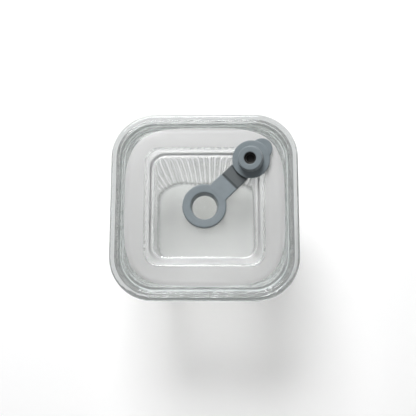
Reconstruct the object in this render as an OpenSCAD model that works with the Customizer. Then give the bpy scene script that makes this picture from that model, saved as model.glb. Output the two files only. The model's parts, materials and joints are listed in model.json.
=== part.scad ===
// Lidded glass canister: a square tapered jar with reeded walls, a clear moulded lid that lifts
// straight off, its gasket, and a folding silicone vent stopper shown lying open on the lid.
// The origin is at the middle of the base, on the surface that the jar stands on. +Z is up.

/* [Jar] */
// Height of the glass jar
jar_h = 100; // [90:1:120]
// Width of the jar at its rim, over the reeds
jar_top_w = 106.8; // [106:0.2:108]
// Width of the reeded wall where it meets the heel
jar_base_w = 69; // [66:1:76]
// Corner radius of the jar at its rim
jar_corner_r = 24.6; // [22:0.2:26]
// Width of the mouth inside the rim
mouth_w = 98; // [97.8:0.2:98.6]
// Corner radius of the mouth
mouth_r = 21; // [20:0.5:22]
// Height of the straight sealing band below the rim
mouth_band_h = 8; // [8:0.5:9]
// Width of the inside just above the floor
inner_base_w = 64.4; // [60:0.2:66]
// Corner radius of the inside just above the floor
inner_base_r = 12; // [10:0.5:14]
// Radius where the floor turns up into the wall
floor_fillet_r = 3; // [2:0.5:5]
// Thickness of the glass floor
floor_t = 7; // [6:0.5:10]
// Height of the rounded heel below the reeds
heel_h = 6; // [4:0.5:7]
// Width of the ring that the jar stands on
foot_w = 58; // [54:1:62]

/* [Reeds] */
// Number of reeds along each straight side
reeds_per_side = 12; // [8:1:14]
// Number of reeds round each corner
reeds_per_corner = 9; // [6:1:10]
// Height of a reed above the valleys beside it
reed_depth = 0.9; // [0.5:0.1:1.1]
// Facets in the width of one reed
reed_steps = 4; // [4:2:6]

/* [Lid] */
// Width of the lid
lid_w = 109; // [108.6:0.2:112]
// Corner radius of the lid
lid_corner_r = 25.6; // [25:0.1:28]
// Thickness of the lid where it sits on the glass
lid_t = 3; // [2.6:0.2:3.4]
// Width of the raised rim
rim_w = 5.5; // [4:0.5:6]
// Height of the raised rim above the top face
rim_h = 1.8; // [1.2:0.2:2.4]
// Width of the sunk window's floor
window_w = 59; // [57:0.5:62]
// Width of the sunk window where its walls reach the top face
window_top_w = 68.5; // [66:0.5:70]
// Corner radius of the window's floor
window_r = 7; // [5:0.5:9]
// Thickness of the window
window_t = 2; // [1.6:0.2:2.4]
// Width of the skirt that drops into the mouth
skirt_w = 95.4; // [94.6:0.2:95.8]
// Thickness of the skirt
skirt_t = 2.2; // [2:0.1:3]
// Depth of the skirt below the rim of the glass
skirt_h = 10; // [9:0.5:12]

/* [Gasket] */
// Width of the gasket over its lips
gasket_w = 97.4; // [96.8:0.2:97.4]
// Height of the gasket
gasket_h = 3.6; // [3:0.2:3.8]
// Depth of the groove that holds the gasket
groove_d = 1; // [0.8:0.1:1.2]

/* [Vent stopper] */
// Radius of the grommet's ring
ring_r = 12.8; // [12:0.1:14]
// Height of the ring above the window
ring_h = 4.1; // [4:0.1:4.6]
// Radius of the vent hole at its top
hole_top_r = 7.75; // [7.75:0.05:8]
// Radius of the vent hole at its bottom
hole_low_r = 7.1; // [7.1:0.05:7.3]
// Radius of the round port in the window
port_r = 9.5; // [9.2:0.1:10.5]
// Width of the strap
strap_w = 12.6; // [10:0.2:13]
// Thickness of the strap
strap_t = 1.2; // [1:0.1:1.4]
// Distance from the vent's axis to the fold
fold_u = 19.2; // [18.8:0.1:20]
// Angle at which the open plug lies, above level
rest_tilt = 11; // [10:0.5:14]
// Radius of the plug's cap disc
cap_r = 11.1; // [10:0.1:12]
// Thickness of the cap disc
cap_t = 1.9; // [1.6:0.1:2.2]
// Radius of the plug where it meets the cap disc
plug_root_r = 7.3; // [7:0.05:7.3]
// Radius of the plug near its end
plug_end_r = 6.9; // [6.5:0.05:6.9]
// Length of the plug
plug_h = 7; // [5:0.5:7]
// Radius of the blind hole in the plug
plug_hole_r = 3.4; // [2.5:0.1:4]
// Distance from the fold to the middle of the pull tab's round end
tab_u = 27.8; // [26:0.2:29]

/* [Hidden] */
$fn = 96;
eps = 0.1;

// Jar
wall_h = jar_h - heel_h;
base_scale = jar_base_w / jar_top_w;
heel_w = jar_base_w - 2 * reed_depth;
heel_r = jar_corner_r * base_scale - reed_depth;
heel_steps = 5;
foot_ring_w = 3;
punt_d = 1;
corner_torus_r = inner_base_r - floor_fillet_r;
inner_corner = inner_base_w / 2 - inner_base_r;

// Lid
top_z = jar_h + lid_t;
window_z = jar_h;
plate_t = 2.4;
tub_wall = 2.5;
rim_chamfer = 0.8;
skirt_r = mouth_r - (mouth_w - skirt_w) / 2;
groove_z = jar_h - 7.5;
groove_h = 4;

// Gasket
lip_t = 1;
lip_reach = 0.8;
gasket_gap = (groove_h - gasket_h) / 2;

// Vent stopper. The strap runs along u, from the vent's axis towards +X +Y.
strap_turn = 45;
nose_r = 1;
fold_z = window_z + ring_h - nose_r;
face_h = nose_r + 0.1;
cap_back_h = face_h + cap_t;
strap_back_h = cap_back_h + strap_t;
cap_bond = 0.2;
web_u = 16.5;
web_reach = 2.3;
web_gap = 0.1;
ring_low_t = 1.6;
ring_low_r = 11.5;
edge_r = 0.6;

// A square with true round corners
module rounded(w, r) {
    square([w, w - 2 * r], center = true);
    square([w - 2 * r, w], center = true);
    for (x = [-1, 1], y = [-1, 1])
        translate([x * (w / 2 - r), y * (w / 2 - r)]) circle(r);
}

// A closed band of a given wall thickness, following the rounded square
module band(w, r, t) {
    difference() {
        rounded(w, r);
        rounded(w - 2 * t, r - t);
    }
}

module slab(z0, z1) {
    translate([0, 0, z0]) linear_extrude(z1 - z0) children();
}

// Height of the reed's surface above its valleys, at step k
function reed(k) = reed_depth * abs(sin(180 * k / reed_steps));

function turned(p, a) = [p[0] * cos(a) - p[1] * sin(a), p[0] * sin(a) + p[1] * cos(a)];

// One side of the reeded outline followed by the corner after it
function reeded_quarter(w, r) =
    let (valley = w / 2 - reed_depth, side = w - 2 * r,
         n = reeds_per_side * reed_steps, m = reeds_per_corner * reed_steps)
    concat(
        [for (k = [0 : n - 1]) [valley + reed(k), side * (k / n - 0.5)]],
        [for (k = [0 : m - 1])
            let (a = 90 * k / m, d = r - reed_depth + reed(k))
            [w / 2 - r + d * cos(a), w / 2 - r + d * sin(a)]]);

module reeded(w, r) {
    polygon([for (q = [0 : 3], p = reeded_quarter(w, r)) turned(p, 90 * q)]);
}

// The hollow of the jar: a straight sealing band over a tapered pocket with a rounded floor
module jar_hollow() {
    slab(jar_h - mouth_band_h, jar_h + eps) rounded(mouth_w, mouth_r);
    hull() {
        slab(jar_h - mouth_band_h, jar_h - mouth_band_h + eps) rounded(mouth_w, mouth_r, $fn = 32);
        for (x = [-1, 1], y = [-1, 1])
            translate([x * inner_corner, y * inner_corner, floor_t + floor_fillet_r])
                rotate_extrude($fn = 32)
                    translate([corner_torus_r, 0]) circle(floor_fillet_r, $fn = 32);
    }
}

// How far the heel has swung out from the foot at a turn of a degrees, and the corner radius there
function heel_out(a) = (heel_w - foot_w) / 2 * sin(a);
function foot_r(a) = heel_r - (heel_w - foot_w) / 2 + heel_out(a);

module jar_heel() {
    hull() {
        for (k = [0 : heel_steps]) {
            a = 90 * k / heel_steps;
            z = heel_h * (1 - cos(a));
            slab(z, z + eps) rounded(foot_w + 2 * heel_out(a), foot_r(a), $fn = 48);
        }
    }
}

module glass_jar() {
    color([0.80, 0.86, 0.84, 0.35])
    difference() {
        union() {
            translate([0, 0, heel_h])
                linear_extrude(wall_h, scale = 1 / base_scale)
                    scale(base_scale) reeded(jar_top_w, jar_corner_r);
            jar_heel();
        }
        jar_hollow();
        slab(-eps, punt_d)
            rounded(foot_w - 2 * foot_ring_w, foot_r(0) - foot_ring_w);
    }
}

module window_tub() {
    rounded(window_w + 2 * tub_wall, window_r + tub_wall);
}

module lid() {
    color([0.88, 0.89, 0.89, 0.5])
    difference() {
        union() {
            slab(jar_h, top_z) rounded(lid_w, lid_corner_r);
            slab(top_z - eps, top_z + rim_h - rim_chamfer) band(lid_w, lid_corner_r, rim_w);
            slab(top_z, top_z + rim_h)
                band(lid_w - 2 * rim_chamfer, lid_corner_r - rim_chamfer, rim_w - 2 * rim_chamfer);
            slab(jar_h - skirt_h, jar_h + eps) band(skirt_w, skirt_r, skirt_t);
            slab(window_z - window_t, jar_h + eps) window_tub();
        }
        // relief under the top face, outside the tub that holds the window
        difference() {
            slab(jar_h - eps, top_z - plate_t)
                rounded(skirt_w - 2 * skirt_t, skirt_r - skirt_t);
            slab(jar_h - 2 * eps, top_z) window_tub();
        }
        slab(window_z - window_t - eps, window_z + eps) circle(port_r);
        translate([0, 0, window_z])
            linear_extrude(lid_t + eps, scale = window_top_w / window_w)
                rounded(window_w, window_r, $fn = 32);
        slab(groove_z, groove_z + groove_h)
            difference() {
                rounded(skirt_w + eps, skirt_r);
                rounded(skirt_w - 2 * groove_d, skirt_r - groove_d);
            }
    }
}

module lid_gasket() {
    core_w = gasket_w - 2 * lip_reach;
    inner_w = skirt_w - 2 * groove_d;
    z0 = groove_z + gasket_gap;
    color([0.92, 0.93, 0.93, 0.6])
    difference() {
        union() {
            slab(z0, z0 + gasket_h) rounded(core_w, skirt_r + (core_w - skirt_w) / 2);
            for (z = [z0, z0 + gasket_h - lip_t])
                slab(z, z + lip_t) rounded(gasket_w, skirt_r + (gasket_w - skirt_w) / 2);
        }
        slab(z0 - eps, z0 + gasket_h + eps) rounded(inner_w, skirt_r - groove_d);
    }
}

// Half section of the grommet: the ring, the waist that fills the port, and the lower flange
module grommet_section() {
    low_z = -window_t - ring_low_t;
    polygon([
        [hole_low_r, low_z],
        [ring_low_r, low_z],
        [ring_low_r, -window_t],
        [port_r, -window_t],
        [port_r, 0],
        [ring_r, 0],
        [ring_r, ring_h - edge_r],
        [ring_r - edge_r, ring_h],
        [hole_top_r, ring_h]
    ]);
}

module vent_grommet() {
    // the neck is thick at the ring and thin over the web, and ends in a round nose on the fold
    color([0.50, 0.54, 0.56])
    translate([0, 0, window_z]) rotate([0, 0, strap_turn])
    difference() {
        union() {
            rotate_extrude() grommet_section();
            translate([0, -strap_w / 2, ring_h - 2 * nose_r - strap_t])
                cube([web_u, strap_w, 2 * nose_r + strap_t]);
            translate([0, -strap_w / 2, ring_h - 2 * nose_r])
                cube([fold_u, strap_w, 2 * nose_r]);
            translate([fold_u, 0, ring_h - nose_r]) rotate([90, 0, 0])
                cylinder(h = strap_w, r = nose_r, center = true);
        }
        translate([0, 0, -window_t - ring_low_t])
            cylinder(h = ring_h + window_t + ring_low_t, r1 = hole_low_r, r2 = hole_top_r);
    }
}

module vent_web() {
    color([0.36, 0.38, 0.39])
    translate([0, 0, window_z]) rotate([0, 0, strap_turn])
    translate([web_u, -strap_w / 2, ring_h - 2 * nose_r - strap_t - web_gap])
        cube([fold_u + web_reach - web_u, strap_w, strap_t]);
}

// The plug in the frame of the fold: x runs away from the fold, and z is up with the plug open
module plug_profile() {
    rise = -face_h;
    back = -cap_back_h - cap_bond;
    polygon([
        [0, back],
        [cap_r - edge_r / 2, back],
        [cap_r, back + edge_r / 2],
        [cap_r, rise - edge_r],
        [cap_r - edge_r, rise],
        [plug_root_r, rise],
        [plug_end_r, rise + plug_h - edge_r],
        [plug_end_r - edge_r, rise + plug_h],
        [0, rise + plug_h]
    ]);
}

module plug_strap() {
    // slopes from the web down to the back of the cap disc, then runs level to the pull tab
    start = web_reach + 2 * web_gap;
    flat_u = fold_u - cap_r;
    translate([0, strap_w / 2, 0]) rotate([90, 0, 0])
        linear_extrude(strap_w)
            polygon([
                [start, -face_h - web_gap],
                [flat_u, -cap_back_h],
                [tab_u, -cap_back_h],
                [tab_u, -strap_back_h],
                [flat_u, -strap_back_h],
                [start, -face_h - strap_t]
            ]);
    translate([tab_u, 0, -strap_back_h]) cylinder(h = strap_t, d = strap_w);
}

module vent_plug() {
    step_h = 2.2;
    hole_h = 5.6;
    color([0.46, 0.49, 0.51])
    rotate([0, 0, strap_turn]) translate([fold_u, 0, fold_z]) rotate([0, -rest_tilt, 0])
    difference() {
        union() {
            translate([fold_u, 0, 0]) rotate_extrude() plug_profile();
            plug_strap();
        }
        translate([fold_u, 0, plug_h - face_h - step_h])
            cylinder(h = step_h + eps, r = plug_hole_r);
        translate([fold_u, 0, plug_h - face_h - hole_h])
            cylinder(h = hole_h, r = plug_hole_r - 0.8);
    }
}

glass_jar();
lid();
lid_gasket();
vent_grommet();
vent_web();
vent_plug();
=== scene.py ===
import json
import math

import bmesh
import bpy
import numpy as np
from mathutils import Matrix, Vector


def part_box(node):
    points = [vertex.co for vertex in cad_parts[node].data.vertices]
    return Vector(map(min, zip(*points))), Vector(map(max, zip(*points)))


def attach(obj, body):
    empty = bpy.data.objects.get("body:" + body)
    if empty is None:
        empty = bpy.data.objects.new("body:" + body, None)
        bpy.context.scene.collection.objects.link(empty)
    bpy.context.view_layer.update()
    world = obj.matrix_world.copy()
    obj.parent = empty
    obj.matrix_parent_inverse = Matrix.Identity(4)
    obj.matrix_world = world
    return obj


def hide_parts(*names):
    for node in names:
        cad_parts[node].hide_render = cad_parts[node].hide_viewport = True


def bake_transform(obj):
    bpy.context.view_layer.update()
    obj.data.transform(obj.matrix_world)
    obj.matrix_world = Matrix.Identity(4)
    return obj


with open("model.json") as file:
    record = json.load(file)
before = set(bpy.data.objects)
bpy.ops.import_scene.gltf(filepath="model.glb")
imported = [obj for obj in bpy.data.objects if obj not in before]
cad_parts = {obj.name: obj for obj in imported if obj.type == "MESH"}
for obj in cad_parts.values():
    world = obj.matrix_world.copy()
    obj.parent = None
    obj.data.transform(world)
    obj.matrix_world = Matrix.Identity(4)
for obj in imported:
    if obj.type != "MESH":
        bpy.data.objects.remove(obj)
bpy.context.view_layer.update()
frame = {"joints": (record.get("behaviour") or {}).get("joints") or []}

bl_info = {
    "name": "Lidded Glass Canister",
    "version": (1, 0, 0),
    "blender": (4, 5, 0),
    "location": "View3D > Sidebar > Canister",
    "description": "Builds a reeded glass jar, its moulded lid, gasket and folding vent stopper",
    "category": "Add Mesh",
}

MM = 0.001

# What the frame says
_, JAR_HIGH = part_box("glass_jar")
LID_LOW, LID_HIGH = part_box("lid")
GASKET_LOW, GASKET_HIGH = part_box("lid_gasket")
GROMMET_LOW, GROMMET_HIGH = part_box("vent_grommet")
FOLD = next(j for j in frame["joints"] if j["name"] == "plug_fold")
FOLD_AT = Vector(FOLD["pos_m"])
FOLD_AXIS = Vector(FOLD["axis"]).normalized()
ALONG = Vector((-FOLD_AXIS.y, FOLD_AXIS.x, 0))
FOLD_FROM_VENT = FOLD_AT.dot(ALONG)

# Steps along a side and round a corner of a square ring. Rings that are joined have the same steps.
PLAIN_STEPS = (16, 24)
REED_STEPS = 8

# Sizes that the lid and the stopper share
LID_THICKNESS = 3 * MM
WINDOW_THICKNESS = 2 * MM
PORT_RADIUS = 9.5 * MM

# The stopper, in the frame of its fold with the plug open
STRAP_THICKNESS = 1.2 * MM
STRAP_FACE = -3.0 * MM
STRAP_BACK = STRAP_FACE - STRAP_THICKNESS
CAP_FACE = -1.1 * MM
NOSE_RADIUS = 1.0 * MM
WEB_GAP = 0.1 * MM


# ---------------------------------------------------------------- user settings

class JarSettings(bpy.types.PropertyGroup):
    """Sizes and colour of the glass jar"""
    corner_radius: bpy.props.FloatProperty(
        name="Corner radius", description="Corner radius at the rim",
        default=24.6 * MM, unit="LENGTH")
    base_width: bpy.props.FloatProperty(
        name="Base width", description="Width of the reeded wall where it meets the heel",
        default=69 * MM, unit="LENGTH")
    heel_height: bpy.props.FloatProperty(
        name="Heel height", description="Height of the rounded heel",
        default=6 * MM, unit="LENGTH")
    foot_width: bpy.props.FloatProperty(
        name="Foot width", description="Width of the ring that the jar stands on",
        default=58 * MM, unit="LENGTH")
    mouth_width: bpy.props.FloatProperty(
        name="Mouth width", description="Width inside the rim",
        default=98 * MM, unit="LENGTH")
    mouth_radius: bpy.props.FloatProperty(
        name="Mouth corner radius", description="Corner radius inside the rim",
        default=21 * MM, unit="LENGTH")
    inner_base_width: bpy.props.FloatProperty(
        name="Inner base width", description="Width inside, just above the floor",
        default=64.4 * MM, unit="LENGTH")
    inner_base_radius: bpy.props.FloatProperty(
        name="Inner base corner radius", description="Corner radius inside, just above the floor",
        default=12 * MM, unit="LENGTH")
    floor_thickness: bpy.props.FloatProperty(
        name="Floor thickness", description="Thickness of the glass under the food",
        default=7 * MM, unit="LENGTH")
    floor_fillet: bpy.props.FloatProperty(
        name="Floor fillet", description="Radius where the floor turns up into the wall",
        default=3 * MM, unit="LENGTH")
    reeds_per_side: bpy.props.IntProperty(
        name="Reeds per side", description="Reeds along each straight side", default=12, min=4)
    reeds_per_corner: bpy.props.IntProperty(
        name="Reeds per corner", description="Reeds round each corner", default=9, min=3)
    reed_depth: bpy.props.FloatProperty(
        name="Reed depth", description="Height of a reed above the valleys beside it",
        default=0.9 * MM, unit="LENGTH")
    inner_ripple: bpy.props.FloatProperty(
        name="Inner ripple", description="Share of the reeds' height that shows on the inner wall",
        default=-0.15, min=-1, max=1)
    tint: bpy.props.FloatVectorProperty(
        name="Glass tint", description="Colour that thick glass takes on",
        default=(0.80, 0.87, 0.84), subtype="COLOR", min=0, max=1)


class LidSettings(bpy.types.PropertyGroup):
    """Sizes and colours of the lid and its gasket"""
    corner_radius: bpy.props.FloatProperty(
        name="Corner radius", description="Corner radius of the lid's outer edge",
        default=25.6 * MM, unit="LENGTH")
    window_width: bpy.props.FloatProperty(
        name="Window width", description="Width of the sunk window's floor",
        default=59 * MM, unit="LENGTH")
    window_top_width: bpy.props.FloatProperty(
        name="Window mouth width", description="Width of the sunk window at the top face",
        default=68.5 * MM, unit="LENGTH")
    window_radius: bpy.props.FloatProperty(
        name="Window corner radius", description="Corner radius of the sunk window's floor",
        default=7 * MM, unit="LENGTH")
    skirt_width: bpy.props.FloatProperty(
        name="Skirt width", description="Width of the skirt that drops into the mouth",
        default=95.4 * MM, unit="LENGTH")
    skirt_radius: bpy.props.FloatProperty(
        name="Skirt corner radius", description="Corner radius of the skirt",
        default=19.7 * MM, unit="LENGTH")
    skirt_thickness: bpy.props.FloatProperty(
        name="Skirt thickness", description="Thickness of the skirt",
        default=2.2 * MM, unit="LENGTH")
    frost_width: bpy.props.FloatProperty(
        name="Frosted width", description="Width of the frosted zone across its bulging sides",
        default=93 * MM, unit="LENGTH")
    frost_power: bpy.props.FloatProperty(
        name="Frosted squareness", description="Exponent of the frosted zone's outline",
        default=3.7, min=2, max=12)
    frost: bpy.props.FloatVectorProperty(
        name="Frosted colour", description="Colour of the frosted zone",
        default=(0.60, 0.601, 0.602), subtype="COLOR", min=0, max=1)
    window: bpy.props.FloatVectorProperty(
        name="Window colour", description="Colour of the clear window",
        default=(0.93, 0.935, 0.94), subtype="COLOR", min=0, max=1)
    rim: bpy.props.FloatVectorProperty(
        name="Rim colour", description="Colour of the clear plastic outside the frosted zone",
        default=(0.60, 0.615, 0.615), subtype="COLOR", min=0, max=1)
    # Painted shade: a darker colour on the clear land that stands in for the dark band its refraction
    # shows.
    land: bpy.props.FloatVectorProperty(
        name="Land colour", description="Colour of the clear land between the frosted zone and the rim",
        default=(0.46, 0.49, 0.48), subtype="COLOR", min=0, max=1)
    gasket: bpy.props.FloatVectorProperty(
        name="Gasket colour", description="Colour of the clear gasket",
        default=(0.86, 0.88, 0.88), subtype="COLOR", min=0, max=1)


class StopperSettings(bpy.types.PropertyGroup):
    """Sizes and colour of the silicone vent stopper"""
    ring_radius: bpy.props.FloatProperty(
        name="Ring radius", description="Outer radius of the ring",
        default=12.8 * MM, unit="LENGTH")
    hole_top_radius: bpy.props.FloatProperty(
        name="Hole top radius", description="Radius of the vent hole at its top",
        default=7.75 * MM, unit="LENGTH")
    hole_low_radius: bpy.props.FloatProperty(
        name="Hole bottom radius", description="Radius of the vent hole at its bottom",
        default=7.1 * MM, unit="LENGTH")
    strap_width: bpy.props.FloatProperty(
        name="Strap width", description="Width of the strap and of the pull tab",
        default=12.6 * MM, unit="LENGTH")
    cap_radius: bpy.props.FloatProperty(
        name="Cap radius", description="Radius of the plug's cap disc",
        default=11.1 * MM, unit="LENGTH")
    plug_radius: bpy.props.FloatProperty(
        name="Plug radius", description="Radius of the plug near its end",
        default=6.9 * MM, unit="LENGTH")
    plug_length: bpy.props.FloatProperty(
        name="Plug length", description="Length of the plug below the cap disc",
        default=7 * MM, unit="LENGTH")
    hole_radius: bpy.props.FloatProperty(
        name="Blind hole radius", description="Radius of the hollow in the plug",
        default=3.4 * MM, unit="LENGTH")
    rest_tilt: bpy.props.FloatProperty(
        name="Rest tilt", description="Angle at which the open plug lies",
        default=math.radians(11), subtype="ANGLE")
    colour: bpy.props.FloatVectorProperty(
        name="Silicone colour", description="Colour of the moulding",
        default=(0.165, 0.195, 0.212), subtype="COLOR", min=0, max=1)
    # Painted shade: near-black colour painted down the plug's hollow, where shade gathers.
    hollow_shade_colour: bpy.props.FloatVectorProperty(
        name="Deep colour", description="Colour deep in the hollow of the plug",
        default=(0.012, 0.012, 0.011), subtype="COLOR", min=0, max=1)


class StageSettings(bpy.types.PropertyGroup):
    """Camera, light and floor"""
    camera_at: bpy.props.FloatVectorProperty(
        name="Camera position", description="Where the camera stands",
        default=(0.0098, -0.0638, 0.4813), subtype="TRANSLATION")
    camera_turn: bpy.props.FloatVectorProperty(
        name="Camera rotation", description="Camera rotation from looking straight down",
        default=(math.radians(9.48), math.radians(1.19), math.radians(0.08)), subtype="EULER")
    focal_length: bpy.props.FloatProperty(
        name="Focal length", description="Lens, in millimetres on a 36 mm sensor",
        default=57.5)
    key_power: bpy.props.FloatProperty(
        name="Key light", description="Power of the soft key light in watts",
        default=15.4, subtype="POWER")
    sky_strength: bpy.props.FloatProperty(
        name="Surround", description="Strength of the even light from all round",
        default=0.33, min=0)
    floor: bpy.props.FloatVectorProperty(
        name="Floor colour", description="Colour of the floor",
        default=(0.93, 0.93, 0.93), subtype="COLOR", min=0, max=1)


# ---------------------------------------------------------------- rings and lofts

def square_ring(half, radius, z, steps=PLAIN_STEPS, reeds=None):
    """Points round a square with round corners, a quarter at a time, starting on the +X side.
    reeds gives how far each point of a quarter stands out."""
    side, round_corner = steps
    out = np.zeros(side + round_corner) if reeds is None else reeds
    corner = half - radius
    points = []
    for quarter in range(4):
        turn = Matrix.Rotation(quarter * math.pi / 2, 3, "Z")
        for k in range(side):
            across = corner * (2 * k / side - 1)
            points.append(turn @ Vector((half + out[k], across, z)))
        for k in range(round_corner):
            angle = math.pi / 2 * k / round_corner
            reach = radius + out[side + k]
            points.append(turn @ Vector((corner + reach * math.cos(angle),
                                         corner + reach * math.sin(angle), z)))
    return points


def round_ring(radius, z, like):
    """A circle with one point in the direction of each point of another ring."""
    return [Vector((p.x, p.y, 0)).normalized() * radius + Vector((0, 0, z)) for p in like]


def squircle_ring(half, power, z, like):
    """A square with bulging sides, with one point in the direction of each point of another ring."""
    points = []
    for p in like:
        way = Vector((p.x, p.y, 0)).normalized()
        size = (abs(way.x) ** power + abs(way.y) ** power) ** (-1 / power)
        points.append(way * size * half + Vector((0, 0, z)))
    return points


def loft(name, rings, loop=False, marks=None):
    """A mesh of quads between rings. It is closed end to end, or by a fan at each end.
    marks gives the material index of each band between two rings."""
    count = len(rings[0])
    vertices = [p for ring in rings for p in ring]
    faces = []
    indices = []
    spans = len(rings) if loop else len(rings) - 1
    for i in range(spans):
        a, b = i * count, ((i + 1) % len(rings)) * count
        for k in range(count):
            n = (k + 1) % count
            faces.append((a + k, a + n, b + n, b + k))
            indices.append(marks[i] if marks else 0)
    if not loop:
        for ring, flip in ((0, True), (len(rings) - 1, False)):
            centre = sum((Vector(p) for p in rings[ring]), Vector()) / count
            vertices.append(centre)
            c = len(vertices) - 1
            for k in range(count):
                a, b = ring * count + k, ring * count + (k + 1) % count
                faces.append((b, a, c) if flip else (a, b, c))
                indices.append(0)
    mesh = bpy.data.meshes.new(name)
    mesh.from_pydata([tuple(v) for v in vertices], [], faces)
    mesh.polygons.foreach_set("material_index", indices)
    mesh.polygons.foreach_set("use_smooth", [True] * len(faces))
    tidy_mesh(mesh)
    piece = bpy.data.objects.new(name, mesh)
    bpy.context.scene.collection.objects.link(piece)
    return piece


def tidy_mesh(mesh):
    """Turns every face outwards and removes doubled points."""
    b = bmesh.new()
    b.from_mesh(mesh)
    bmesh.ops.remove_doubles(b, verts=b.verts, dist=1e-7)
    bmesh.ops.recalc_face_normals(b, faces=b.faces)
    b.to_mesh(mesh)
    b.free()
    mesh.update()


def arc(centre, radius, start, end, steps):
    """Points of an arc in a profile, with angles in degrees."""
    turns = [math.radians(start + (end - start) * k / steps) for k in range(steps + 1)]
    return [(centre[0] + radius * math.cos(t), centre[1] + radius * math.sin(t)) for t in turns]


def lathe(profile, steps=96):
    """A closed mesh of a profile of (radius, height) points turned about the Z axis."""
    b = bmesh.new()
    rings = []
    for radius, height in profile:
        if radius < 1e-9:
            rings.append([b.verts.new((0, 0, height))])
            continue
        rings.append([b.verts.new((radius * math.cos(2 * math.pi * k / steps),
                                   radius * math.sin(2 * math.pi * k / steps), height))
                      for k in range(steps)])
    pairs = list(zip(rings, rings[1:] + rings[:1]))
    for low, high in pairs:
        if len(low) == 1 and len(high) == 1:
            continue
        for k in range(steps):
            n = (k + 1) % steps
            corners = [low[k % len(low)], low[n % len(low)], high[n % len(high)], high[k % len(high)]]
            b.faces.new(list(dict.fromkeys(corners)))
    bmesh.ops.recalc_face_normals(b, faces=b.faces)
    return b


def extrude_side(profile, width):
    """A closed mesh of an x, z outline as wide as width, centred on y."""
    b = bmesh.new()
    sides = [[b.verts.new((x, y, z)) for x, z in profile] for y in (-width / 2, width / 2)]
    count = len(profile)
    for k in range(count):
        n = (k + 1) % count
        b.faces.new((sides[0][k], sides[0][n], sides[1][n], sides[1][k]))
    b.faces.new(sides[0])
    b.faces.new(sides[1])
    bmesh.ops.recalc_face_normals(b, faces=b.faces)
    return b


# ---------------------------------------------------------------- materials

def new_material(name):
    """A node material and its principled shader."""
    material = bpy.data.materials.new(name)
    material.use_nodes = True
    return material, material.node_tree.nodes, material.node_tree.links, \
        material.node_tree.nodes["Principled BSDF"]


def noise(nodes, links, scale, detail=4, stretch=(1, 1, 1)):
    """Noise on the piece's own coordinates, in metres."""
    where = nodes.new("ShaderNodeTexCoord")
    mapping = nodes.new("ShaderNodeMapping")
    mapping.inputs["Scale"].default_value = stretch
    texture = nodes.new("ShaderNodeTexNoise")
    texture.inputs["Scale"].default_value = scale
    texture.inputs["Detail"].default_value = detail
    links.new(where.outputs["Object"], mapping.inputs["Vector"])
    links.new(mapping.outputs["Vector"], texture.inputs["Vector"])
    return texture.outputs["Fac"]


def spread(nodes, links, value, low, high):
    """Maps a 0 to 1 value to a range."""
    node = nodes.new("ShaderNodeMapRange")
    node.inputs["From Min"].default_value = 0.3
    node.inputs["From Max"].default_value = 0.7
    node.inputs["To Min"].default_value = low
    node.inputs["To Max"].default_value = high
    links.new(value, node.inputs["Value"])
    return node.outputs["Result"]


def bump(nodes, links, height, strength, distance, shader):
    """Adds a fine relief to a shader."""
    node = nodes.new("ShaderNodeBump")
    node.inputs["Strength"].default_value = strength
    node.inputs["Distance"].default_value = distance
    links.new(height, node.inputs["Height"])
    links.new(node.outputs["Normal"], shader.inputs["Normal"])


def tone(nodes, links, value, dark, light):
    """A colour between two, by a 0 to 1 value."""
    ramp = nodes.new("ShaderNodeValToRGB")
    ramp.color_ramp.elements[0].position = 0.3
    ramp.color_ramp.elements[0].color = (*dark, 1)
    ramp.color_ramp.elements[1].position = 0.7
    ramp.color_ramp.elements[1].color = (*light, 1)
    links.new(value, ramp.inputs["Fac"])
    return ramp.outputs["Color"]


def pass_light(nodes, links, shader, tint):
    """Lets direct light through a clear piece, dimmed by tint at each face, so it lights what it covers."""
    ray = nodes.new("ShaderNodeLightPath")
    clear = nodes.new("ShaderNodeBsdfTransparent")
    clear.inputs["Color"].default_value = (*tint, 1)
    mix = nodes.new("ShaderNodeMixShader")
    links.new(ray.outputs["Is Shadow Ray"], mix.inputs["Fac"])
    links.new(shader.outputs["BSDF"], mix.inputs[1])
    links.new(clear.outputs["BSDF"], mix.inputs[2])
    links.new(mix.outputs["Shader"], nodes["Material Output"].inputs["Surface"])


def jar_glass(settings):
    """Pressed glass: clear, slightly wavy, and green where it is thick."""
    material, nodes, links, shader = new_material("jar_glass")
    shader.inputs["Base Color"].default_value = (0.93, 0.93, 0.925, 1)
    shader.inputs["Transmission Weight"].default_value = 0.86
    shader.inputs["IOR"].default_value = 1.5
    smooth = noise(nodes, links, 60, 3)
    links.new(spread(nodes, links, smooth, 0.12, 0.2), shader.inputs["Roughness"])
    bump(nodes, links, noise(nodes, links, 90, 2), 0.15, 0.0004, shader)
    absorb = nodes.new("ShaderNodeVolumeAbsorption")
    absorb.inputs["Color"].default_value = (*settings.tint, 1)
    absorb.inputs["Density"].default_value = 30
    links.new(absorb.outputs["Volume"], nodes["Material Output"].inputs["Volume"])
    pass_light(nodes, links, shader, (0.37, 0.365, 0.358))
    return material


def clear_plastic(name, colour, haze=0.0):
    """Polished clear plastic with faint wear from washing."""
    material, nodes, links, shader = new_material(name)
    shader.inputs["Base Color"].default_value = (*colour, 1)
    shader.inputs["Transmission Weight"].default_value = 0.93
    shader.inputs["IOR"].default_value = 1.49
    wear = noise(nodes, links, 240, 5, (1, 0.25, 1))
    links.new(spread(nodes, links, wear, 0.03 + haze, 0.07 + haze), shader.inputs["Roughness"])
    bump(nodes, links, noise(nodes, links, 120, 2), 0.02, 0.0003, shader)
    pass_light(nodes, links, shader, (0.99, 0.99, 0.99))
    return material


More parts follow.
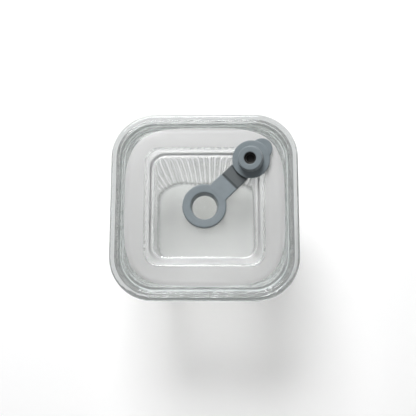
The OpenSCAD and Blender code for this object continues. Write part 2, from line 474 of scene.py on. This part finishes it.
def frosted_plastic(settings):
    """The etched zone of the lid: milky, with an even fine grain."""
    material, nodes, links, shader = new_material("frosted_plastic")
    shader.inputs["Transmission Weight"].default_value = 0.55
    shader.inputs["IOR"].default_value = 1.45
    cloud = noise(nodes, links, 45, 3)
    light = tuple(settings.frost)
    dark = tuple(c * 0.97 for c in light)
    links.new(tone(nodes, links, cloud, dark, light), shader.inputs["Base Color"])
    grain = noise(nodes, links, 2600, 2)
    links.new(spread(nodes, links, grain, 0.45, 0.62), shader.inputs["Roughness"])
    bump(nodes, links, grain, 0.25, 0.00008, shader)
    pass_light(nodes, links, shader, (0.98, 0.98, 0.98))
    return material


def gasket_silicone(settings):
    """Translucent clear silicone."""
    material, nodes, links, shader = new_material("gasket_silicone")
    shader.inputs["Transmission Weight"].default_value = 0.6
    shader.inputs["IOR"].default_value = 1.41
    cloud = noise(nodes, links, 200, 3)
    light = tuple(settings.gasket)
    links.new(tone(nodes, links, cloud, tuple(c * 0.94 for c in light), light),
              shader.inputs["Base Color"])
    links.new(spread(nodes, links, cloud, 0.25, 0.4), shader.inputs["Roughness"])
    bump(nodes, links, noise(nodes, links, 900, 3), 0.2, 0.00006, shader)
    pass_light(nodes, links, shader, (0.98, 0.98, 0.98))
    return material


def stopper_silicone(settings):
    """Matt grey silicone with a fine moulded skin. A point attribute mixes in painted shade:
    darker on the thin strip, which lies in shadow, and near black down the plug's hollow."""
    material, nodes, links, shader = new_material("stopper_silicone")
    shader.inputs["IOR"].default_value = 1.41
    shader.inputs["Sheen Weight"].default_value = 0.15
    cloud = noise(nodes, links, 260, 4)
    light = tuple(c * 1.04 for c in settings.colour)
    dark = tuple(c * 0.95 for c in settings.colour)
    skin = tone(nodes, links, cloud, dark, light)
    # Painted shade: the attribute mixes the skin towards the hollow's shade colour.
    share = nodes.new("ShaderNodeAttribute")
    share.attribute_name = "painted_shade_share"
    mix = nodes.new("ShaderNodeMix")
    mix.data_type = "RGBA"
    links.new(share.outputs["Fac"], mix.inputs["Factor"])
    links.new(skin, mix.inputs["A"])
    mix.inputs["B"].default_value = (*settings.hollow_shade_colour, 1)
    links.new(mix.outputs["Result"], shader.inputs["Base Color"])
    grain = noise(nodes, links, 1800, 3)
    links.new(spread(nodes, links, grain, 0.42, 0.58), shader.inputs["Roughness"])
    bump(nodes, links, grain, 0.3, 0.00005, shader)
    return material


def floor_paint(settings):
    """A pale even surface with the faintest mottling."""
    material, nodes, links, shader = new_material("floor_paint")
    shader.inputs["Specular IOR Level"].default_value = 0.1
    shader.inputs["Roughness"].default_value = 0.9
    cloud = noise(nodes, links, 8, 3)
    light = tuple(settings.floor)
    links.new(tone(nodes, links, cloud, tuple(c * 0.995 for c in light), light),
              shader.inputs["Base Color"])
    return material


# ---------------------------------------------------------------- pieces

def reed_heights(settings):
    """Height of the reeds at each point of a quarter: rounded ribs with sharp valleys between them."""
    count = (settings.reeds_per_side + settings.reeds_per_corner) * REED_STEPS
    heights = [abs(math.sin(math.pi * k / REED_STEPS)) for k in range(count)]
    return np.array(heights) * settings.reed_depth


def jar_rings(settings):
    """The rings of the jar, from the middle of its base, up the outside and down the inside."""
    top = JAR_HIGH.z
    top_half = JAR_HIGH.x
    depth = settings.reed_depth
    base_half = settings.base_width / 2
    steps = (settings.reeds_per_side * REED_STEPS, settings.reeds_per_corner * REED_STEPS)
    reeds = reed_heights(settings)
    rings = []

    def ring(half, radius, z, share=0.0):
        rings.append(square_ring(half - depth * share, radius - depth * share, z,
                                 steps, reeds * share))

    def wall(z):
        share = (z - settings.heel_height) / (top - settings.heel_height)
        half = base_half + (top_half - base_half) * share
        return half, settings.corner_radius * half / top_half

    heel_half, heel_radius = base_half - depth, wall(settings.heel_height)[1] - depth
    foot_half = settings.foot_width / 2
    swing = heel_half - foot_half
    foot_radius = heel_radius - swing
    # the hollow under the base, from its middle out to the ring that the jar stands on
    least_radius = 1 * MM
    for inset, z in ((14, 1.0), (9, 0.95), (7, 0.8), (5.4, 0.5), (4, 0.2), (3, 0.04), (2.4, 0), (0.4, 0)):
        ring(foot_half - inset * MM, max(foot_radius - inset * MM, least_radius), z * MM)
    # the rounded heel, where the reeds die away
    reeds_end = 14
    for angle in (8, 18, 30, 45, 60, 75):
        t = math.radians(angle)
        out = swing * math.sin(t)
        share = min(1, angle / reeds_end)
        rings.append(square_ring(foot_half + out, foot_radius + out,
                                 settings.heel_height * (1 - math.cos(t)), steps, reeds * share))
    ring(*wall(settings.heel_height), settings.heel_height, 1.0)
    ring(*wall(settings.heel_height + 2 * MM), settings.heel_height + 2 * MM, 1.0)
    for z in (20, 40, 60, 80, 92):
        ring(*wall(z * MM), z * MM, 1.0)
    lip = 1.6 * MM
    inner_lip = 1.2 * MM
    for drop, share in ((3.5 * MM, 1.0), (2.4 * MM, 0.8), (lip, 0.35)):
        ring(*wall(top - drop), top - drop, share)
    mouth = settings.mouth_width / 2
    outer, outer_radius = wall(top - lip)
    for angle in (15, 35, 55, 75, 90):
        t = math.radians(angle)
        shift = lip * (1 - math.cos(t)) if angle < 90 else lip
        ring(outer - shift, outer_radius - shift, top - lip + lip * math.sin(t))
    for angle in (90, 75, 55, 35, 15, 0):
        t = math.radians(angle)
        shift = inner_lip * (1 - math.cos(t))
        ring(mouth + shift, settings.mouth_radius + shift, top - inner_lip + inner_lip * math.sin(t))
    band = 8 * MM
    ring(mouth, settings.mouth_radius, top - 5 * MM)
    ring(mouth, settings.mouth_radius, top - band)
    fillet = settings.floor_fillet
    low = settings.floor_thickness + fillet
    base, base_radius = settings.inner_base_width / 2, settings.inner_base_radius
    spans = 5
    for k in range(1, spans):
        share = k / spans
        ring(mouth + (base - mouth) * share,
             settings.mouth_radius + (base_radius - settings.mouth_radius) * share,
             top - band + (low - top + band) * share, settings.inner_ripple)
    for angle in range(0, 91, 10):
        t = math.radians(angle)
        ring(base - fillet + fillet * math.cos(t), base_radius - fillet + fillet * math.cos(t),
             low - fillet * math.sin(t), settings.inner_ripple * min(1, (90 - angle) / 20))
    ring(base - fillet - 6 * MM, 6 * MM, settings.floor_thickness)
    return rings


def build_jar(settings):
    """The pressed glass jar, as one skin of rings."""
    jar = loft("jar_body", jar_rings(settings))
    jar.data.materials.append(jar_glass(settings))
    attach(jar, "jar")
    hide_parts("glass_jar")


# The lid's finishes, in the order of its materials
CLEAR, FROSTED, EDGE, LAND, SLOPE = range(5)

# The raised rim in section, from the channel inside it to the lid's outer edge: how far each point
# lies in from the edge, and how far below the crest, in millimetres
RIM_BEADS = ((4.85, 0.75), (4.6, 0.42), (4.2, 0.35), (3.75, 0.5), (3.4, 0.72), (3.05, 0.6),
             (2.7, 0.22), (2.2, 0.04), (1.7, 0), (1.1, 0.1), (0.55, 0.42), (0.15, 1.0), (0, 1.7))


def lid_rings(settings):
    """The rings of the lid, from the port's top edge out over the top and back underneath."""
    glass = JAR_HIGH.z
    half = LID_HIGH.x
    radius = settings.corner_radius
    crest = LID_HIGH.z
    top = glass + LID_THICKNESS
    floor, floor_radius = settings.window_width / 2, settings.window_radius
    mouth = settings.window_top_width / 2
    mouth_radius = floor_radius * mouth / floor
    port = PORT_RADIUS
    under_window = glass - WINDOW_THICKNESS
    land_round_port = 3 * MM
    like = square_ring(floor, floor_radius, 0)
    rings, marks = [], []

    def add(points, mark=CLEAR):
        rings.append(points)
        marks.append(mark)

    def ring(inset, z, mark=EDGE):
        add(square_ring(half - inset * MM, radius - inset * MM, z), mark)

    def window(share, z, grow=0.0, mark=CLEAR):
        size = floor + (mouth - floor) * share + grow * MM
        corner = floor_radius + (mouth_radius - floor_radius) * share + grow * MM
        add(square_ring(size, corner, z), mark)

    add(round_ring(port, glass - 0.3 * MM, like))
    add(round_ring(port + 0.3 * MM, glass, like))
    add(round_ring(port + land_round_port, glass, like))
    window(0, glass, -2)
    window(0, glass, -0.5)
    window(0.04, glass + 0.12 * MM)
    window(0.12, glass + 0.42 * MM, mark=SLOPE)
    window(0.88, top - 0.42 * MM)
    window(0.96, top - 0.14 * MM)
    window(1, top, 0.15)
    frost_start = 0.8
    window(1, top, frost_start, FROSTED)
    frost_half = settings.frost_width / 2
    inner = square_ring(mouth + frost_start * MM, mouth_radius + frost_start * MM, top)
    outer = squircle_ring(frost_half, settings.frost_power, top, inner)
    for share in (0.35, 0.7, 1.0):
        mark = FROSTED if share < 1 else LAND
        add([a.lerp(b, share) for a, b in zip(inner, outer)], mark)
    channel = top - 0.15 * MM
    frost_edge = rings[-1]
    # The land band, which takes the land's painted shade.
    for grow in (1.003, 1.006):
        add([Vector((p.x * grow, p.y * grow, channel)) for p in frost_edge], LAND)
    ring(5.9, channel, LAND)
    ring(5.35, channel)
    ring(5.05, channel + 0.15 * MM)
    for inset, drop in RIM_BEADS:
        ring(inset, crest - drop * MM)
    ring(0, glass + 0.7 * MM)
    ring(0.12, glass + 0.3 * MM)
    ring(0.5, glass)
    ring(1.2, glass)

    skirt, wall = settings.skirt_width / 2, settings.skirt_thickness
    skirt_radius = settings.skirt_radius
    bottom = LID_LOW.z

    def side(out, z):
        add(square_ring(skirt + out * MM, skirt_radius + out * MM, z))

    side(0.8, glass)
    side(0.2, glass - 0.15 * MM)
    side(0, glass - 0.7 * MM)
    play = 0.2 * MM
    groove_low, groove_high = GASKET_LOW.z - play, GASKET_HIGH.z + play
    groove_depth = 1
    for out, z in ((0, groove_high), (-groove_depth, groove_high), (-groove_depth, groove_low),
                   (0, groove_low)):
        side(out, z)
    side(0, bottom + 0.6 * MM)
    side(-0.15, bottom + 0.15 * MM)
    side(-0.6, bottom)
    inner = -wall / MM
    side(inner + 0.6, bottom)
    side(inner + 0.15, bottom + 0.15 * MM)
    side(inner, bottom + 0.6 * MM)
    plate = 2.4 * MM
    under = top - plate
    side(inner, under - 0.8 * MM)
    side(inner - 0.25, under - 0.2 * MM)
    side(inner - 0.9, under)
    tub = 2.5  # wall of the tub round the window, in millimetres
    window(0, under, tub + 0.8)
    window(0, under - 0.2 * MM, tub + 0.2)
    window(0, under_window + 0.5 * MM, tub)
    window(0, under_window + 0.1 * MM, tub - 0.15)
    window(0, under_window, tub - 0.6)
    add(round_ring(port + land_round_port, under_window, like))
    add(round_ring(port + 0.3 * MM, under_window, like))
    add(round_ring(port, under_window + 0.3 * MM, like))
    return rings, marks


def build_lid(settings):
    """The one clear moulding of the lid, with its five finishes in the order of their marks."""
    rings, marks = lid_rings(settings)
    lid = loft("lid_shell", rings, loop=True, marks=marks)
    lid.data.materials.append(clear_plastic("window_plastic", settings.window, 0.02))
    lid.data.materials.append(frosted_plastic(settings))
    lid.data.materials.append(clear_plastic("rim_plastic", settings.rim))
    # The land's darker colour is painted shade.
    lid.data.materials.append(clear_plastic("painted_shade_land_plastic", settings.land, 0.04))
    lid.data.materials.append(clear_plastic("slope_plastic", settings.window, 0.3))
    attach(lid, "lid")
    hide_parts("lid")


def build_gasket(settings):
    """A ring with two soft lips, seated in the skirt's groove."""
    low, high = GASKET_LOW.z, GASKET_HIGH.z
    reach = GASKET_HIGH.x - settings.skirt_width / 2
    root = -1 * MM  # how deep it sits in the groove
    core = reach - 0.8 * MM
    lip = 1.0 * MM
    profile = [(root, low), (core, low), (reach - 0.3 * MM, low), (reach, low + 0.3 * MM),
               (reach, low + 0.7 * MM), (reach - 0.3 * MM, low + lip), (core + 0.2 * MM, low + lip),
               (core, low + lip + 0.2 * MM), (core, high - lip - 0.2 * MM),
               (core + 0.2 * MM, high - lip), (reach - 0.3 * MM, high - lip),
               (reach, high - 0.7 * MM), (reach, high - 0.3 * MM), (reach - 0.3 * MM, high),
               (core, high), (root, high)]
    rings = [square_ring(settings.skirt_width / 2 + out, settings.skirt_radius + out, z)
             for out, z in profile]
    gasket = loft("gasket_ring", rings, loop=True)
    gasket.data.materials.append(gasket_silicone(settings))
    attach(gasket, "lid")
    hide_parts("lid_gasket")


def ring_profile(settings):
    """Half section of the grommet, from its bottom edge round to the top, and back down the hole."""
    window = JAR_HIGH.z
    low, high = GROMMET_LOW.z - window, GROMMET_HIGH.z - window
    hole_low, hole_top = settings.hole_low_radius, settings.hole_top_radius
    flange = 11.5 * MM
    edge = 0.7 * MM
    outer = settings.ring_radius
    profile = [(hole_low + 0.3 * MM, low), (flange - 0.4 * MM, low), (flange, low + 0.4 * MM),
               (flange, -WINDOW_THICKNESS), (PORT_RADIUS, -WINDOW_THICKNESS), (PORT_RADIUS, 0),
               (outer, 0)]
    profile += arc((outer - edge, high - edge), edge, 0, 90, 5)
    profile += arc((hole_top + edge, high - edge), edge * 0.8, 90, 180, 4)
    profile += [(hole_low, low + 0.4 * MM)]
    return profile


def plug_profile(settings):
    """Half section of the cap disc and hollow plug, with the plug pointing up."""
    face = CAP_FACE
    back = face - 2.1 * MM
    cap, end = settings.cap_radius, settings.plug_radius
    top = face + settings.plug_length
    hole = settings.hole_radius
    inner = hole - 0.9 * MM
    profile = [(0, back), (cap - 0.5 * MM, back)]
    profile += arc((cap - 0.55 * MM, face - 0.55 * MM), 0.55 * MM, -30, 90, 6)
    profile += [(7.7 * MM, face), (7.35 * MM, face + 0.25 * MM)]
    profile += arc((end - 0.5 * MM, top - 0.5 * MM), 0.5 * MM, 8, 90, 5)
    profile += [(hole + 0.35 * MM, top), (hole, top - 0.35 * MM), (hole, top - 2.2 * MM),
                (inner, top - 2.3 * MM), (inner, top - 5.6 * MM), (0, top - 5.6 * MM)]
    return profile


def strap_profile(at):
    """Side view of the moving half of the strap, in the frame of the fold with the plug open.
    at is the middle of the pull tab's round end."""
    return [(2.0 * MM, -1.15 * MM), (8.0 * MM, STRAP_FACE), (at, STRAP_FACE), (at, STRAP_BACK),
            (8.1 * MM, STRAP_BACK), (2.0 * MM, -2.3 * MM)]


def join_moulding(name, parts, voxel):
    """Unites closed parts into one skin, softens its edges as a moulding's are, and links it."""
    whole = bmesh.new()
    for part, place in parts:
        part.transform(place)
        mesh = bpy.data.meshes.new("part")
        part.to_mesh(mesh)
        whole.from_mesh(mesh)
        part.free()
        bpy.data.meshes.remove(mesh)
    mesh = bpy.data.meshes.new(name)
    whole.to_mesh(mesh)
    whole.free()
    piece = bpy.data.objects.new(name, mesh)
    bpy.context.scene.collection.objects.link(piece)
    remesh = piece.modifiers.new("Skin", "REMESH")
    remesh.mode = "VOXEL"
    remesh.voxel_size = voxel
    smooth = piece.modifiers.new("Soften", "SMOOTH")
    smooth.factor = 0.5
    smooth.iterations = 5
    bpy.context.view_layer.update()
    skinned = bpy.data.meshes.new_from_object(piece.evaluated_get(
        bpy.context.evaluated_depsgraph_get()))
    piece.modifiers.clear()
    piece.data = skinned
    bpy.data.meshes.remove(mesh)
    skinned.name = name
    skinned.polygons.foreach_set("use_smooth", [True] * len(skinned.polygons))
    return piece


def neck_profile(settings):
    """Side view of the still half of the strap, from the ring to the round nose on the fold."""
    high = GROMMET_HIGH.z - JAR_HIGH.z
    nose = NOSE_RADIUS
    web_top = high - 2 * nose - WEB_GAP
    root = settings.ring_radius - 3 * MM
    step = 16.6 * MM
    profile = [(root, web_top - STRAP_THICKNESS), (step, web_top - STRAP_THICKNESS),
               (step, high - 2 * nose)]
    profile += arc((FOLD_FROM_VENT, high - nose), nose, -90, 90, 8)
    return profile + [(root, high)]


def web_profile():
    """Side view of the thin strip that bends, running under the nose and a little past it."""
    top = GROMMET_HIGH.z - JAR_HIGH.z - 2 * NOSE_RADIUS - WEB_GAP
    start, end = 16.0 * MM, FOLD_FROM_VENT + 2.6 * MM
    return [(start, top), (start, top - STRAP_THICKNESS), (end, top - STRAP_THICKNESS), (end, top)]


def tab_profile(settings):
    """Half section of the round end of the pull tab."""
    half = settings.strap_width / 2
    edge = 0.3 * MM
    return [(0, STRAP_BACK), (half - edge, STRAP_BACK), (half, STRAP_BACK + edge),
            (half, STRAP_FACE - edge), (half - edge, STRAP_FACE), (0, STRAP_FACE)]


def painted_silicone_shade(stopper, settings, fold):
    """Painted shade at each point: darker on the web strip, which lies in shadow, and darkest down the
    plug's hollow.
    """
    along = np.array([v.co.dot(ALONG) for v in stopper.data.vertices])
    height = np.array([v.co.z for v in stopper.data.vertices])
    web_start, web_end = FOLD_FROM_VENT + 0.9 * MM, FOLD_FROM_VENT + 9.5 * MM
    shaded_web = (along > web_start) & (along < web_end) & (height < FOLD_AT.z + 0.2 * MM)
    # Painted shade on the web strip.
    shade = shaded_web * 0.68
    hollow = settings.hole_radius + 0.25 * MM
    hollow_start, hollow_end = 0.35 * MM, 6.5 * MM
    plug_top = settings.plug_length + CAP_FACE
    back = fold.inverted()
    for i, v in enumerate(stopper.data.vertices):
        local = back @ v.co - Vector((FOLD_FROM_VENT, 0, 0))
        sunk = plug_top - local.z
        # Painted shade down the plug's hollow, deeper further down.
        if math.hypot(local.x, local.y) < hollow and hollow_start < sunk < hollow_end:
            shade[i] = min(1, 0.55 + sunk / (4 * MM))
    return shade.astype(np.float32)


def build_stopper(settings):
    """The one silicone moulding: ring, neck, web, strap, plug and pull tab, blended over the fold."""
    window = Matrix.Translation((0, 0, JAR_HIGH.z))
    turn = Matrix.Rotation(math.atan2(ALONG.y, ALONG.x), 4, "Z")
    fold = Matrix.Translation(FOLD_AT) @ turn @ Matrix.Rotation(-settings.rest_tilt, 4, "Y")
    width = settings.strap_width
    tab_at = 27.8 * MM
    fine = 128
    parts = [
        (lathe(ring_profile(settings), fine), window),
        (extrude_side(neck_profile(settings), width), window @ turn),
        (extrude_side(web_profile(), width), window @ turn),
        (extrude_side(strap_profile(tab_at), width), fold),
        (lathe(plug_profile(settings), fine), fold @ Matrix.Translation((FOLD_FROM_VENT, 0, 0))),
        (lathe(tab_profile(settings)), fold @ Matrix.Translation((tab_at, 0, 0))),
    ]
    stopper = join_moulding("vent_stopper", parts, 0.24 * MM)
    # Stores the painted shade of the web and the hollow as a point attribute.
    attribute = stopper.data.attributes.new("painted_shade_share", "FLOAT", "POINT")
    attribute.data.foreach_set("value", painted_silicone_shade(stopper, settings, fold))
    stopper.data.materials.clear()
    stopper.data.materials.append(stopper_silicone(settings))
    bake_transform(stopper)
    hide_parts("vent_grommet", "vent_web", "vent_plug")


def build_stage(settings):
    """The camera, a soft round key light, even light from all round, and a pale floor."""
    scene = bpy.context.scene
    camera = bpy.data.objects.new("camera", bpy.data.cameras.new("camera"))
    scene.collection.objects.link(camera)
    camera.location = settings.camera_at
    camera.rotation_euler = settings.camera_turn
    camera.data.lens = settings.focal_length
    camera.data.sensor_width = 36
    camera.data.clip_start = 0.01
    camera.data.shift_x = 0.001
    camera.data.shift_y = -0.002
    scene.camera = camera

    key = bpy.data.objects.new("key_light", bpy.data.lights.new("key_light", "AREA"))
    scene.collection.objects.link(key)
    way = Vector((-0.17, 0.70, 1.0)).normalized()
    distance = 1.2
    key.location = way * distance
    key.rotation_euler = way.to_track_quat("Z", "Y").to_euler()
    key.data.shape = "DISK"
    key.data.size = 0.62
    key.data.energy = settings.key_power

    world = bpy.data.worlds.new("surround")
    world.use_nodes = True
    world.node_tree.nodes["Background"].inputs["Color"].default_value = (1, 1, 1, 1)
    world.node_tree.nodes["Background"].inputs["Strength"].default_value = settings.sky_strength
    scene.world = world
    scene.view_settings.view_transform = "Standard"

    mesh = bpy.data.meshes.new("floor")
    half = 4.0
    corners = [(-half, -half, 0), (half, -half, 0), (half, half, 0), (-half, half, 0)]
    mesh.from_pydata(corners, [], [(0, 1, 2, 3)])
    floor = bpy.data.objects.new("floor", mesh)
    scene.collection.objects.link(floor)
    mesh.materials.append(floor_paint(settings))
    floor.location.z = -0.05 * MM


# ---------------------------------------------------------------- operators and panel

class CANISTER_OT_jar(bpy.types.Operator):
    """Build the reeded glass jar"""
    bl_idname = "canister.jar"
    bl_label = "Glass jar"

    def execute(self, context):
        build_jar(context.scene.canister_jar)
        return {"FINISHED"}


class CANISTER_OT_lid(bpy.types.Operator):
    """Build the moulded lid"""
    bl_idname = "canister.lid"
    bl_label = "Lid"

    def execute(self, context):
        build_lid(context.scene.canister_lid)
        return {"FINISHED"}


class CANISTER_OT_gasket(bpy.types.Operator):
    """Build the gasket in the lid's skirt"""
    bl_idname = "canister.gasket"
    bl_label = "Gasket"

    def execute(self, context):
        build_gasket(context.scene.canister_lid)
        return {"FINISHED"}


class CANISTER_OT_stopper(bpy.types.Operator):
    """Build the folding silicone vent stopper"""
    bl_idname = "canister.stopper"
    bl_label = "Vent stopper"

    def execute(self, context):
        build_stopper(context.scene.canister_stopper)
        return {"FINISHED"}


class CANISTER_OT_stage(bpy.types.Operator):
    """Set up the camera, the light and the floor"""
    bl_idname = "canister.stage"
    bl_label = "Stage"

    def execute(self, context):
        build_stage(context.scene.canister_stage)
        return {"FINISHED"}


class CANISTER_PT_panel(bpy.types.Panel):
    """Buttons and settings for the canister"""
    bl_idname = "CANISTER_PT_panel"
    bl_label = "Glass Canister"
    bl_space_type = "VIEW_3D"
    bl_region_type = "UI"
    bl_category = "Canister"

    def draw(self, context):
        for operator, group in STEPS:
            box = self.layout.box()
            box.operator(operator.bl_idname)
            settings = getattr(context.scene, group)
            for name in settings.bl_rna.properties.keys():
                if name not in ("rna_type", "name"):
                    box.prop(settings, name)


STEPS = (
    (CANISTER_OT_stage, "canister_stage"),
    (CANISTER_OT_jar, "canister_jar"),
    (CANISTER_OT_lid, "canister_lid"),
    (CANISTER_OT_gasket, "canister_lid"),
    (CANISTER_OT_stopper, "canister_stopper"),
)
SETTINGS = {
    "canister_jar": JarSettings,
    "canister_lid": LidSettings,
    "canister_stopper": StopperSettings,
    "canister_stage": StageSettings,
}


def register():
    for name, group in SETTINGS.items():
        bpy.utils.register_class(group)
        setattr(bpy.types.Scene, name, bpy.props.PointerProperty(type=group))
    for operator, _ in STEPS:
        bpy.utils.register_class(operator)
    bpy.utils.register_class(CANISTER_PT_panel)


def unregister():
    bpy.utils.unregister_class(CANISTER_PT_panel)
    for operator, _ in reversed(STEPS):
        bpy.utils.unregister_class(operator)
    for name, group in SETTINGS.items():
        delattr(bpy.types.Scene, name)
        bpy.utils.unregister_class(group)


def main():
    """Builds every piece and the stage."""
    register()
    for operator, _ in STEPS:
        group, name = operator.bl_idname.split(".")
        getattr(getattr(bpy.ops, group), name)()


if __name__ == "__main__":
    main()
